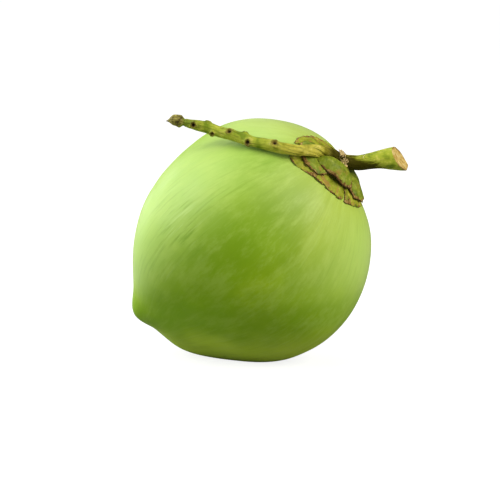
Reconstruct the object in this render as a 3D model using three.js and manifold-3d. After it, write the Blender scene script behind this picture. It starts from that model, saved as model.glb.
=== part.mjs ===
// A young green coconut as picked, lying on its flank, with the piece of flower branch it grew on.
// The husk is one solid. Its cap is the flower's old perianth: three inner petals and three outer sepals,
// leathery scales that overlap round the place where the fruit sits on the branch.
// Millimetres, +Z up. The origin is the middle of the small flat spot that the fruit rests on.

import * as THREE from "three";
import { mergeVertices } from "three/addons/utils/BufferGeometryUtils.js";
import Module from "manifold-3d";

const wasm = await Module();
wasm.setup();

// ---- Driving dimensions: the husk ----------------------------------------------------------------
const HUSK_RADIUS = 83.8; // mean radius round the belly
const TIP_RISE = 0.265; // how far the blossom end is drawn out, as a share of the radius
const TIP_SPREAD = 0.46; // half width of that taper, in radians from the tip
const NIPPLE_RISE = 0.05; // the small blunt nipple at the very end
const NIPPLE_SPREAD = 0.12;
const NIPPLE_LEAN = new THREE.Vector3(0.35, 0, -1); // the nipple sits a little off the fruit's axis
const SHOULDER_RISE = 0.025; // fuller shoulders round the stem
const SHOULDER_LEAN = 0.05; // and fuller still on one side
const SHOULDER_LEAN_TOWARDS = -65; // turn about the stem axis, in degrees
// Shallow flats where neighbours in the bunch pressed it: degrees from the stem axis, turn about it,
// half width in radians and depth as a share of the radius.
const FLATS = [
  { away: 22, towards: 158, spread: 0.3, depth: 0.04 },
  { away: 87, towards: -55, spread: 0.36, depth: 0.022 },
  { away: 171, towards: 50, spread: 0.14, depth: 0.035 },
];
const RIDGE_RISE = 0.0775; // the three blunt ridges of a coconut
const RIDGE_TO_TIP = 0.6; // they grow stronger towards the tip and fade towards the stem
const RIDGE_END = 0.3; // and melt into the nipple, and into the cap, over this many radians
const RIDGE_CREST = 0.15; // second wave that tightens each crest and rounds the flank between
const HUSK_SIDES = 56;
const HUSK_RINGS = 36;
const RING_CROWDING = 0.35; // rings lie closer together towards the tip

// ---- Driving dimensions: how the fruit lies --------------------------------------------------------
const FRUIT_CENTRE = new THREE.Vector3(12, -2, 90); // its lowest 2.4 mm are pressed flat at z = 0
const STEM_ELEVATION = 43.7; // degrees the stem end points up from the table
const STEM_HEADING = -18.2; // degrees from +X, towards the front
const RIDGE_ROLL = 59.7; // degrees the first ridge is rolled forward from the top

// ---- Driving dimensions: the cap of scales ---------------------------------------------------------
const GAP = 0.3; // between pieces that touch
const CAP_LEAN = 7; // degrees the cap's middle lies off the stem axis
const CAP_LEAN_TOWARDS = 50; // turn about the stem axis of that lean
const PETAL_THICKNESS = 1.7;
const SEPAL_THICKNESS = 1.8;
const MARGIN_THINNING = 0.45; // a scale's rim is this share of its full thickness
const SECOND_LAYER = GAP + PETAL_THICKNESS + GAP;
const RIDE_UP = 1; // the front sepal climbs over the thick right one
const THIRD_LAYER = SECOND_LAYER + SEPAL_THICKNESS + GAP + RIDE_UP;

// Petals are fans about the middle of the cap: angles in degrees, rim distances in degrees from the middle.
const PETALS = [
  { name: "petal_front", from: -21, to: 86, foot: 3, rim: [25.5, 28.5, 22.2, 19, 18.8, 19.4] },
  { name: "petal_right", from: 88.5, to: 205, foot: 4, rim: [19.6, 21.8, 23.6, 23, 20.5, 18.5] },
  { name: "petal_back", from: 207.5, to: 336, foot: 4.5, rim: [16.5, 16.5, 17.5, 19, 21.3, 24.5] },
];

// Sepals are ovals: away is how far the middle lies from the cap's, towards is its direction, and spin
// turns the oval about its own middle, in degrees.
const SEPALS = [
  {
    name: "sepal_left", away: 14.5, towards: -5, long: 8.5, wide: 9.5, egg: 0, spin: 0, layer: SECOND_LAYER,
    thickness: SEPAL_THICKNESS, dome: 0.3,
  },
  {
    name: "sepal_right", away: 12.5, towards: 157, long: 9.5, wide: 12.5, egg: 0, spin: 0, layer: SECOND_LAYER,
    thickness: 2.2, dome: 1,
  },
  {
    name: "sepal_front", away: 7.6, towards: 43, long: 5.6, wide: 11, egg: 0.3, spin: 23, layer: THIRD_LAYER,
    thickness: 2.4, dome: 1.6,
  },
];

// ---- Driving dimensions: the branch ----------------------------------------------------------------
// Middle line and radius, from the shrivelled tip over the shoulder, down through the cap and out to the cut.
const BRANCH = [
  [-50, -43, 179, 1.2],
  [-44, -43.5, 179.5, 3.6],
  [-36, -45, 178, 3.3],
  [-26, -46, 176, 4.1],
  [-14, -48, 173, 4.1],
  [-4, -52, 170.3, 4.3],
  [9, -56, 166.7, 3.9],
  [24, -59.5, 163.7, 4.1],
  [37, -60, 161, 3.9],
  [46, -56.5, 160, 4.1],
  [54, -50.5, 159.5, 4.5],
  [62, -42, 157, 4.7],
  [69, -35, 152.5, 5.1],
  [76, -31, 149, 5.6],
  [85, -29.5, 148, 5.7],
  [94, -28, 149, 6.1],
  [101, -27, 150, 7],
  [108, -26, 150.5, 8.4],
  [115, -25.5, 150.8, 9.3],
  [122, -25, 151, 9.4],
];
const BRANCH_SIDES = 14;
const BRANCH_STEPS = 50;
const CUT_POINT = new THREE.Vector3(114, -25.5, 150.8);
const CUT_NORMAL = new THREE.Vector3(0.82, -0.34, 0.46).normalize();

// Where male flowers fell off: how far along the branch, turned from the front upwards, in degrees.
const SCARS = [
  { along: 0.115, turn: -25 },
  { along: 0.195, turn: -45 },
  { along: 0.26, turn: 30 },
  { along: 0.335, turn: -20 },
  { along: 0.418, turn: 35 },
];
const SCAR_RADIUS = 2.6;
const SCAR_SINK = 0.9; // how deep the knob's middle lies below the bark

// The fleshy seat by which the branch holds the fruit.
const SEAT_CENTRE = new THREE.Vector3(71, -33, 147.5);
const SEAT_RADIUS = 9;
const SEAT_FLATNESS = 0.55;

// Two torn scales wrapped on the branch where it thickens.
const TORN_SCALES = [
  { name: "bracteole_upper", from: 20, to: 68, start: 0.695, end: 0.722 },
  { name: "bracteole_lower", from: -20, to: 14, start: 0.715, end: 0.742 },
];
const TORN_SCALE_THICKNESS = 0.9;
const TORN_SCALE_LIFT = 0.3; // room for the seat's flat facets below them

// ---- Small helpers ---------------------------------------------------------------------------------
const rad = THREE.MathUtils.degToRad;

function solidFrom(geometry) {
  const bare = geometry.clone();
  bare.deleteAttribute("normal");
  bare.deleteAttribute("uv");
  const merged = mergeVertices(bare, 1e-4);
  const triVerts = new Uint32Array(merged.index.array);
  const mesh = new wasm.Mesh({ numProp: 3, vertProperties: merged.attributes.position.array, triVerts });
  return new wasm.Manifold(mesh);
}

function geometryFrom(solid) {
  const mesh = solid.getMesh();
  const geometry = new THREE.BufferGeometry();
  geometry.setAttribute("position", new THREE.BufferAttribute(new Float32Array(mesh.vertProperties), 3));
  geometry.setIndex(new THREE.BufferAttribute(new Uint32Array(mesh.triVerts), 1));
  geometry.computeVertexNormals();
  return geometry;
}

// Moves every vertex of a geometry to place(vertex).
function reshape(geometry, place) {
  const position = geometry.attributes.position;
  const vertex = new THREE.Vector3();
  for (let i = 0; i < position.count; i += 1) {
    vertex.fromBufferAttribute(position, i);
    const moved = place(vertex);
    position.setXYZ(i, moved.x, moved.y, moved.z);
  }
  return geometry;
}

// A smooth swelling: 1 in the middle, fading to nothing at about twice its half width.
function bell(x) {
  return Math.exp(-x * x);
}

// Unit vector at degrees away from +Z, turned about it.
function ray(away, turn) {
  return new THREE.Vector3(
    Math.sin(rad(away)) * Math.cos(rad(turn)),
    Math.sin(rad(away)) * Math.sin(rad(turn)),
    Math.cos(rad(away)),
  );
}

// A smooth line through evenly spaced values, read at t from 0 to 1.
function along(values, t) {
  const line = new THREE.SplineCurve(values.map((value, i) => new THREE.Vector2(i, value)));
  return line.getPoint(THREE.MathUtils.clamp(t, 0, 1)).y;
}

// ---- The fruit's own frame: stem end along its +Z, first ridge towards its +X -----------------------
function fruitPose() {
  const elevation = rad(STEM_ELEVATION);
  const heading = rad(STEM_HEADING);
  const stem = new THREE.Vector3(
    Math.cos(elevation) * Math.cos(heading),
    Math.cos(elevation) * Math.sin(heading),
    Math.sin(elevation),
  );
  const top = new THREE.Vector3(
    -Math.sin(elevation) * Math.cos(heading),
    -Math.sin(elevation) * Math.sin(heading),
    Math.cos(elevation),
  );
  const side = new THREE.Vector3().crossVectors(stem, top);
  const ridge = top.multiplyScalar(Math.cos(rad(RIDGE_ROLL))).addScaledVector(side, Math.sin(rad(RIDGE_ROLL)));
  const third = new THREE.Vector3().crossVectors(stem, ridge);
  return new THREE.Matrix4().makeBasis(ridge, third, stem).setPosition(FRUIT_CENTRE);
}

const POSE = fruitPose();
const TO_FRUIT = POSE.clone().invert();

// Distance from the fruit's centre to the husk in a direction given by a unit vector.
const NIPPLE = NIPPLE_LEAN.clone().normalize();
function huskReach(direction) {
  const fromStem = Math.acos(THREE.MathUtils.clamp(direction.z, -1, 1));
  const fromTip = Math.PI - fromStem;
  const turn = Math.atan2(direction.y, direction.x);
  const fromNipple = direction.angleTo(NIPPLE);
  const taper = TIP_RISE * bell(fromTip / TIP_SPREAD);
  const nipple = NIPPLE_RISE * bell(fromNipple / NIPPLE_SPREAD);
  const upper = (1 + direction.z) / 2;
  const lean = SHOULDER_LEAN * Math.sin(fromStem) * Math.cos(turn - rad(SHOULDER_LEAN_TOWARDS));
  const waist = Math.sin(fromStem) ** 2 / Math.hypot(Math.sin(fromStem), RIDGE_END);
  const fade = (1 - RIDGE_TO_TIP * direction.z) * waist;
  const ridges = RIDGE_RISE * fade * (Math.cos(3 * turn) + RIDGE_CREST * Math.cos(6 * turn));
  const flats = FLATS.map(({ away, towards, spread, depth }) => {
    return depth * bell(direction.angleTo(ray(away, towards)) / spread);
  }).reduce((sum, depth) => sum + depth);
  return HUSK_RADIUS * (1 + taper + nipple + upper * (SHOULDER_RISE + lean) + ridges - flats);
}

// ---- The husk --------------------------------------------------------------------------------------
function huskGeometry(extra) {
  const ball = new THREE.SphereGeometry(1, HUSK_SIDES, HUSK_RINGS);
  ball.rotateX(Math.PI / 2);
  return reshape(ball, (v) => {
    const even = Math.acos(THREE.MathUtils.clamp(v.z, -1, 1));
    const fromStem = even + RING_CROWDING * Math.sin(even);
    const turn = Math.atan2(v.y, v.x);
    const direction = ray(THREE.MathUtils.radToDeg(fromStem), THREE.MathUtils.radToDeg(turn));
    return direction.multiplyScalar(huskReach(direction) + extra);
  });
}

function huskSolid() {
  const size = 4 * HUSK_RADIUS;
  const floor = new THREE.BoxGeometry(size, size, size).translate(0, 0, -size / 2);
  return solidFrom(huskGeometry(0)).subtract(solidFrom(floor.applyMatrix4(TO_FRUIT)));
}

// ---- The branch ------------------------------------------------------------------------------------
const BRANCH_LINE = new THREE.CatmullRomCurve3(BRANCH.map(([x, y, z]) => new THREE.Vector3(x, y, z)));
BRANCH_LINE.arcLengthDivisions = 400;
const BRANCH_LENGTH = BRANCH_LINE.getLength();

function branchRadius(t) {
  const knot = BRANCH_LINE.getUtoTmapping(t);
  return along(BRANCH.map((station) => station[3]), knot);
}

// Axes across the branch at t: front looks towards -Y, up is the one nearest +Z.
function branchAxes(t) {
  const forward = BRANCH_LINE.getTangentAt(t);
  const up = new THREE.Vector3(0, 0, 1).addScaledVector(forward, -forward.z).normalize();
  const front = new THREE.Vector3().crossVectors(forward, up);
  return { forward, up, front };
}

// Point at t along the branch, turned from the front upwards, at a distance from the middle line.
function branchPoint(t, turn, distance) {
  const { up, front } = branchAxes(t);
  const point = BRANCH_LINE.getPointAt(t);
  point.addScaledVector(front, Math.cos(turn) * distance);
  return point.addScaledVector(up, Math.sin(turn) * distance);
}

function branchTube(extra) {
  const rod = new THREE.CylinderGeometry(1, 1, 1, BRANCH_SIDES, BRANCH_STEPS);
  return reshape(rod, (v) => {
    const t = THREE.MathUtils.clamp(v.y + 0.5, 0, 1);
    const reach = Math.hypot(v.x, v.z);
    const turn = Math.atan2(-v.x, v.z);
    return branchPoint(t, turn, reach * (branchRadius(t) + extra));
  });
}

function scarKnob({ along: t, turn }) {
  const middle = branchPoint(t, rad(turn), branchRadius(t) - SCAR_SINK);
  return new THREE.SphereGeometry(SCAR_RADIUS, 8, 6).translate(middle.x, middle.y, middle.z);
}

function seatGeometry(extra) {
  const seat = new THREE.SphereGeometry(SEAT_RADIUS + extra, 20, 12);
  seat.rotateX(Math.PI / 2).scale(1, 1, SEAT_FLATNESS);
  const outward = SEAT_CENTRE.clone().sub(FRUIT_CENTRE).normalize();
  const lay = new THREE.Quaternion().setFromUnitVectors(new THREE.Vector3(0, 0, 1), outward);
  return seat.applyQuaternion(lay).translate(SEAT_CENTRE.x, SEAT_CENTRE.y, SEAT_CENTRE.z);
}

function cutOffBlock() {
  const size = 60;
  const block = new THREE.BoxGeometry(size, size, size).translate(0, 0, size / 2);
  const lay = new THREE.Quaternion().setFromUnitVectors(new THREE.Vector3(0, 0, 1), CUT_NORMAL);
  return block.applyQuaternion(lay).translate(CUT_POINT.x, CUT_POINT.y, CUT_POINT.z);
}

function branchSolid() {
  let solid = solidFrom(branchTube(0)).add(solidFrom(seatGeometry(0)));
  for (const scar of SCARS) {
    solid = solid.add(solidFrom(scarKnob(scar)));
  }
  solid = solid.subtract(solidFrom(cutOffBlock()));
  return solid.subtract(solidFrom(huskGeometry(GAP).applyMatrix4(POSE)));
}

// The room that the branch and its torn scales need among the cap's scales, in the fruit's frame.
function branchRoom() {
  const takers = [branchTube(GAP), seatGeometry(GAP), ...TORN_SCALES.map((scale) => tornScale(scale, GAP))];
  return takers
    .map((geometry) => solidFrom(geometry.applyMatrix4(TO_FRUIT)))
    .reduce((room, taker) => room.add(taker));
}

// ---- The scales of the cap -------------------------------------------------------------------------
const CAP_TURN = new THREE.Quaternion().setFromAxisAngle(
  new THREE.Vector3(-Math.sin(rad(CAP_LEAN_TOWARDS)), Math.cos(rad(CAP_LEAN_TOWARDS)), 0),
  rad(CAP_LEAN),
);

// Point over the husk: degrees out from the cap's middle, degrees round it, and height above the husk.
function capPoint(out, round, height) {
  const direction = ray(out, round).applyQuaternion(CAP_TURN);
  return direction.multiplyScalar(huskReach(direction) + height);
}

// Full thickness inside, thinning to the rim; nearness is 0 in the middle and 1 on the rim.
function scaleThickness(thickness, nearness) {
  return thickness * (1 - (1 - MARGIN_THINNING) * nearness ** 3);
}

function petalSolid({ from, to, foot, rim }) {
  const plate = new THREE.BoxGeometry(1, 1, 1, 18, 5, 1);
  reshape(plate, (v) => {
    const across = 0.5 - v.x;
    const outward = v.y + 0.5;
    const out = THREE.MathUtils.lerp(foot, along(rim, across), outward);
    const thick = scaleThickness(PETAL_THICKNESS, outward);
    return capPoint(out, THREE.MathUtils.lerp(from, to, across), GAP + (v.z + 0.5) * thick);
  });
  return solidFrom(plate);
}

function sepalSolid({ away, towards, long, wide, egg, spin, layer, thickness, dome }) {
  const plate = new THREE.BoxGeometry(2, 2, 1, 10, 8, 1);
  const turned = rad(spin);
  reshape(plate, (v) => {
    const x = v.x * Math.sqrt(1 - (v.y * v.y) / 2);
    const y = v.y * Math.sqrt(1 - (v.x * v.x) / 2);
    const nearness = Math.min(1, Math.hypot(x, y));
    const lengthwise = y * long * (1 - egg * x);
    const ahead = away + lengthwise * Math.cos(turned) + x * wide * Math.sin(turned);
    const aside = lengthwise * Math.sin(turned) - x * wide * Math.cos(turned);
    const out = Math.hypot(ahead, aside);
    const round = towards + THREE.MathUtils.radToDeg(Math.atan2(aside, ahead));
    const thick = scaleThickness(thickness, nearness);
    const lift = layer + dome * (1 - nearness * nearness);
    return capPoint(out, round, lift + (v.z + 0.5) * thick);
  });
  return solidFrom(plate);
}

function tornScale({ from, to, start, end }, extra) {
  const plate = new THREE.BoxGeometry(1, 1, 1, 8, 3, 1);
  const middle = (from + to) / 2;
  const spread = (to - from) / 2 + THREE.MathUtils.radToDeg(extra / branchRadius(start));
  const centre = (start + end) / 2;
  const reach = (end - start) / 2 + extra / BRANCH_LENGTH;
  return reshape(plate, (v) => {
    const turn = rad(middle - 2 * v.x * spread);
    const t = centre + 2 * v.y * reach;
    const height = GAP + TORN_SCALE_LIFT + TORN_SCALE_THICKNESS / 2 + v.z * (TORN_SCALE_THICKNESS + 2 * extra);
    return branchPoint(t, turn, branchRadius(t) + height);
  });
}

// ---- Assembly --------------------------------------------------------------------------------------
const HUSK_GREEN = new THREE.MeshStandardMaterial({ color: 0x8cb43c, roughness: 0.5, metalness: 0 });
const PETAL_OLIVE = new THREE.MeshStandardMaterial({ color: 0x8f9a45, roughness: 0.7, metalness: 0 });
const SEPAL_GREEN = new THREE.MeshStandardMaterial({ color: 0x7d9a4e, roughness: 0.65, metalness: 0 });
const BARK_OLIVE = new THREE.MeshStandardMaterial({ color: 0x7d8226, roughness: 0.7, metalness: 0 });
const TORN_FIBRE = new THREE.MeshStandardMaterial({ color: 0xb39a5c, roughness: 0.9, metalness: 0 });

function named(name, geometry, material) {
  const mesh = new THREE.Mesh(geometry, material);
  mesh.name = name;
  return mesh;
}

const coconut = new THREE.Group();

// The fruit and its cap are drawn in the fruit's own frame and laid down together.
const fruit = new THREE.Group();
fruit.applyMatrix4(POSE);
coconut.add(fruit);

fruit.add(named("husk", geometryFrom(huskSolid()), HUSK_GREEN));

const room = branchRoom();
for (const petal of PETALS) {
  fruit.add(named(petal.name, geometryFrom(petalSolid(petal).subtract(room)), PETAL_OLIVE));
}
for (const sepal of SEPALS) {
  fruit.add(named(sepal.name, geometryFrom(sepalSolid(sepal).subtract(room)), SEPAL_GREEN));
}

// The branch is drawn where it lies.
coconut.add(named("branch", geometryFrom(branchSolid()), BARK_OLIVE));
for (const scale of TORN_SCALES) {
  coconut.add(named(scale.name, tornScale(scale, 0), TORN_FIBRE));
}

export default coconut;
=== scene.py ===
# %% [markdown]
# # A young green coconut, with the piece of branch it grew on
#
# The fruit is a smooth, waxy husk with three blunt ridges and a nipple at the blossom end.
# At the stem end sits its cap: three petals and three sepals of the old flower, leathery scales with
# dry, brown, torn margins. A knobbly green piece of the flower branch still holds the fruit.
#
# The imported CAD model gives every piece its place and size. This lesson rebuilds each of them as a fine
# mesh in the same frame, in metres, and gives it a material made of nodes.

from itertools import product
from math import radians

import bpy
import numpy as np
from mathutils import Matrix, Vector


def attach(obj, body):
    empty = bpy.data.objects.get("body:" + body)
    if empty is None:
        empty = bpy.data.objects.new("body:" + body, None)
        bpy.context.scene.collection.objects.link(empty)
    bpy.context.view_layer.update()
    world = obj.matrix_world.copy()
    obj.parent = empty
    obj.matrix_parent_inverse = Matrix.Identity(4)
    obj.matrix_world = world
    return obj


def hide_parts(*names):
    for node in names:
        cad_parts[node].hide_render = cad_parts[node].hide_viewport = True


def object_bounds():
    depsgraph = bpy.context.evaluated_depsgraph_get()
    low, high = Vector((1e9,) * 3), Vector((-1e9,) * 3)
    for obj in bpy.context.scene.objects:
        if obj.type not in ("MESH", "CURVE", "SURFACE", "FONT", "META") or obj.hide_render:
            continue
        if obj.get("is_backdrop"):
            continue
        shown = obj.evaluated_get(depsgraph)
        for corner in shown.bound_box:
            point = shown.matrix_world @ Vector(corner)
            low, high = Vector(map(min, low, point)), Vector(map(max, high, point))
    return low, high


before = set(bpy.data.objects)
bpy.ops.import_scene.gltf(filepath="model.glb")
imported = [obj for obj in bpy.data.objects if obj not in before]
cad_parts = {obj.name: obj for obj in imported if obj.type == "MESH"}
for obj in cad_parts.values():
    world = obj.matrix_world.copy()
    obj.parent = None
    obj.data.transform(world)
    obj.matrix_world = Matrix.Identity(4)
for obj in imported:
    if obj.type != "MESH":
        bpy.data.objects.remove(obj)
cad_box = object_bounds()
MM = 0.001
print("CAD box", [round(v, 4) for corner in cad_box for v in corner])

# %% [markdown]
# ## Sums on whole meshes
#
# A fine mesh has tens of thousands of points, so every shape here is a formula on whole numpy arrays:
# points are rows of x, y, z. Bumps and wrinkles come from one smooth noise, which is seeded, so that each
# run gives the same fruit.

# %% Helpers for shapes
def bell(x):
    """A smooth swelling: 1 in the middle, fading to nothing at about twice its half width."""
    return np.exp(-np.square(x))


def smooth_step(low, high, x):
    """0 below low, 1 above high, and a soft slope between."""
    part = np.clip((x - low) / (high - low), 0, 1)
    return part * part * (3 - 2 * part)


def unit(v):
    return v / np.linalg.norm(v, axis=-1, keepdims=True)


def ray(away, turn):
    """Unit vectors at degrees away from +Z, turned about it."""
    away, turn = np.broadcast_arrays(np.radians(away), np.radians(turn))
    return np.stack([np.sin(away) * np.cos(turn), np.sin(away) * np.sin(turn), np.cos(away)], -1)


def angle_between(a, b):
    return np.arccos(np.clip(a @ b, -1, 1))


def bearings(d):
    """Angle from +Z, and the turn about it, of unit directions."""
    return np.arccos(np.clip(d[..., 2], -1, 1)), np.arctan2(d[..., 1], d[..., 0])


def noise(points, seed):
    """Smooth noise from about -1 to 1 at each point, with one bump or dip to a unit of length."""
    values = np.random.default_rng(seed).uniform(-1, 1, 4096)
    cell = np.floor(points).astype(int)
    part = points - cell
    ease = part * part * (3 - 2 * part)
    total = np.zeros(points.shape[:-1])
    for corner in product((0, 1), repeat=3):
        key = (cell + corner) @ np.array([1, 157, 1811])
        weight = np.prod(np.where(corner, ease, 1 - ease), axis=-1)
        total += weight * values[key % len(values)]
    return total


def rough_noise(points, seed, octaves=3):
    """Noise with finer and fainter noise on top of it."""
    return sum(noise(points * 2**k, seed + k) / 2**k for k in range(octaves))


def stacked(*columns):
    """Rows of x, y, z from three columns, or from single numbers."""
    return np.stack(np.broadcast_arrays(*columns), -1)


def grid(across, along, low=0):
    """Two grids of numbers from low to 1: one changes by row, the other by column."""
    return np.meshgrid(np.linspace(low, 1, across), np.linspace(low, 1, along), indexing="ij")

# %% [markdown]
# ## From points to a piece
#
# Each piece becomes one closed mesh. `attributes` are numbers kept at every point, such as how near it is
# to a torn margin; the materials read them by name, so colour follows the shape exactly.

# %% Helpers for meshes
def make_piece(name, points, faces, attributes=None, sharp=60):
    """A smooth-shaded mesh object from points in metres, riding on the one body of the part."""
    mesh = bpy.data.meshes.new(name)
    mesh.from_pydata(points.reshape(-1, 3).tolist(), [], faces)
    mesh.shade_smooth()
    mesh.set_sharp_from_angle(angle=radians(sharp))
    for key, values in (attributes or {}).items():
        flat = np.asarray(values, np.float32)
        if flat.size == len(mesh.vertices):
            layer = mesh.attributes.new(key, "FLOAT", "POINT")
            layer.data.foreach_set("value", flat.ravel())
        else:
            layer = mesh.attributes.new(key, "FLOAT_VECTOR", "POINT")
            layer.data.foreach_set("vector", flat.ravel())
    piece = bpy.data.objects.new(name, mesh)
    bpy.context.scene.collection.objects.link(piece)
    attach(piece, "root")
    print(f"{name}: {len(mesh.vertices)} points, {len(mesh.polygons)} faces")
    return piece


def grid_quads(ids):
    """The quads between neighbouring numbers of a two-way grid."""
    corners = [ids[:-1, :-1], ids[1:, :-1], ids[1:, 1:], ids[:-1, 1:]]
    return np.stack(corners, -1).reshape(-1, 4)


def slab_faces(rows, columns):
    """Quads of a closed sheet: its upper side, its lower side and the wall round its rim."""
    upper = np.arange(rows * columns).reshape(rows, columns)
    lower = upper + rows * columns
    rim = np.concatenate([upper[:-1, 0], upper[-1, :-1], upper[:0:-1, -1], upper[0, :0:-1]])
    ring = np.append(rim, rim[0])
    walls = grid_quads(np.stack([ring, ring + rows * columns]))
    return np.concatenate([grid_quads(upper), grid_quads(lower)[:, ::-1], walls])


def make_slab(name, top, bottom, attributes):
    """A closed sheet with thickness from two grids of points, one above the other."""
    faces = slab_faces(*top.shape[:2]).tolist()
    both = {key: np.stack([value, value]) for key, value in attributes.items()}
    return make_piece(name, np.stack([top, bottom]), faces, both)


def quad_ball(steps):
    """Unit directions and quads of a ball made from a cube: no poles, and faces of nearly one size."""
    a, b = np.meshgrid(np.arange(steps + 1), np.arange(steps + 1), indexing="ij")
    lattice, quads = [], []
    for axis, side in product(range(3), (0, steps)):
        sheet = np.empty(a.shape + (3,), int)
        sheet[..., axis] = side
        sheet[..., (axis + 1) % 3] = a
        sheet[..., (axis + 2) % 3] = b
        lattice.append(sheet.reshape(-1, 3))
        ids = np.arange(a.size).reshape(a.shape) + a.size * len(quads)
        quads.append(grid_quads(ids) if side else grid_quads(ids)[:, ::-1])
    lattice = np.concatenate(lattice)
    corners, where = np.unique(lattice, axis=0, return_inverse=True)
    directions = unit(np.tan((corners / steps * 2 - 1) * np.pi / 4))
    return directions, where.ravel()[np.concatenate(quads)]

# %% [markdown]
# ## The husk's shape
#
# The whole outline of the fruit is one formula: how far the skin is from the centre in each direction.
# A ball is drawn out to a taper and a nipple at the blossom end, gets three blunt ridges, fuller shoulders
# round the stem, two shallow flats where other fruits of the bunch pressed it and a small notch beside the
# nipple. Sculpting would be freer, but a formula can be asked for the skin anywhere, and the scales of the
# cap need just that. These are the same driving values that the CAD solid has, in metres.

# %% Driving values of the husk
HUSK_RADIUS = 83.8 * MM
TIP_RISE = 0.265
TIP_SPREAD = 0.46
NIPPLE_RISE = 0.05
NIPPLE_SPREAD = 0.12
NIPPLE = unit(np.array([0.35, 0, -1]))
SHOULDER_RISE = 0.025
SHOULDER_LEAN = 0.05
SHOULDER_LEAN_TOWARDS = radians(-65)
FLATS = [(22, 158, 0.3, 0.04), (87, -55, 0.36, 0.022), (171, 50, 0.14, 0.035)]
RIDGE_RISE = 0.0775
RIDGE_TO_TIP = 0.6
RIDGE_END = 0.3
RIDGE_CREST = 0.15


def husk_reach(d):
    """Distance from the fruit's centre to the skin, for unit directions with the stem end along +Z."""
    from_stem, turn = bearings(d)
    taper = TIP_RISE * bell((np.pi - from_stem) / TIP_SPREAD)
    nipple = NIPPLE_RISE * bell(angle_between(d, NIPPLE) / NIPPLE_SPREAD)
    lean = SHOULDER_LEAN * np.sin(from_stem) * np.cos(turn - SHOULDER_LEAN_TOWARDS)
    shoulders = (1 + d[..., 2]) / 2 * (SHOULDER_RISE + lean)
    waist = np.sin(from_stem) ** 2 / np.hypot(np.sin(from_stem), RIDGE_END)
    wave = np.cos(3 * turn) + RIDGE_CREST * np.cos(6 * turn)
    ridges = RIDGE_RISE * (1 - RIDGE_TO_TIP * d[..., 2]) * waist * wave
    flats = 0
    for away, towards, spread, deep in FLATS:
        flats = flats + deep * bell(angle_between(d, ray(away, towards)) / spread)
    return HUSK_RADIUS * (1 + taper + nipple + shoulders + ridges - flats)

# %% [markdown]
# ## How the fruit lies
#
# A picked coconut can't stand on its nipple: it rolls over and lies on a flank. Here the stem end is up
# and to the right, and one ridge is rolled towards the front. The shape is worked out upright and then laid
# down by three axes, because the formulas of ridges and scales are simple only round an upright stem.

# %% How the fruit lies
FRUIT_CENTRE = np.array([12, -2, 90]) * MM
STEM_ELEVATION = radians(43.7)
STEM_HEADING = radians(-18.2)
RIDGE_ROLL = radians(59.7)


def fruit_axes():
    """Rows: the first ridge, the direction square to it, and the stem, in the part's frame."""
    level = np.array([np.cos(STEM_HEADING), np.sin(STEM_HEADING), 0])
    up = np.array([0, 0, 1])
    stem = np.cos(STEM_ELEVATION) * level + np.sin(STEM_ELEVATION) * up
    top = np.cos(STEM_ELEVATION) * up - np.sin(STEM_ELEVATION) * level
    ridge = top * np.cos(RIDGE_ROLL) + np.cross(stem, top) * np.sin(RIDGE_ROLL)
    return np.array([ridge, np.cross(stem, ridge), stem])


FRUIT_AXES = fruit_axes()


def lay_down(points):
    """From the fruit's own frame to the part's frame."""
    return points @ FRUIT_AXES + FRUIT_CENTRE

# %% [markdown]
# ## The husk's skin
#
# Coconut skin is taut and smooth, but the fibres below it show as very fine, long ribs from end to end, and
# they gather into creases round the nipple. Broad, shallow dents keep it from looking machined. A ball made
# from a cube is used, because a globe's pole would pinch the skin just where the nipple catches the light.
#
# The painted light and sheen above each ridge, the pale strokes beside it and the painted shade on the flank
# beyond all follow the ridges. So the mesh keeps those masks too, and the material needs no measuring of its
# own.

# %% The husk
HUSK_STEPS = 108
RIB_HEIGHT = 0.09 * MM
DENT_DEPTH = 0.45 * MM
CREASE_DEPTH = 0.3 * MM


def husk_relief(d):
    """Height of the ribs, dents and creases at unit directions."""
    from_stem, turn = bearings(d)
    along = stacked(np.cos(turn), np.sin(turn), from_stem)
    waist = smooth_step(0.15, 0.6, np.sin(from_stem))
    ribs = noise(along * [14, 14, 1.6], 3) + 0.6 * noise(along * [26, 26, 2.2], 5)
    patches = smooth_step(-0.3, 0.7, noise(d * 2.2, 7))
    dents = noise(d * 3.1, 11) + 0.4 * noise(d * 6.5, 13)
    near_tip = bell((np.pi - from_stem - 0.32) / 0.2)
    here_and_there = smooth_step(0, 0.5, noise(d * 5, 19) + 0.3)
    creases = near_tip * np.minimum(0, noise(along * [9, 9, 4], 17)) * here_and_there
    return RIB_HEIGHT * ribs * waist * patches + DENT_DEPTH * dents * waist + CREASE_DEPTH * creases


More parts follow.
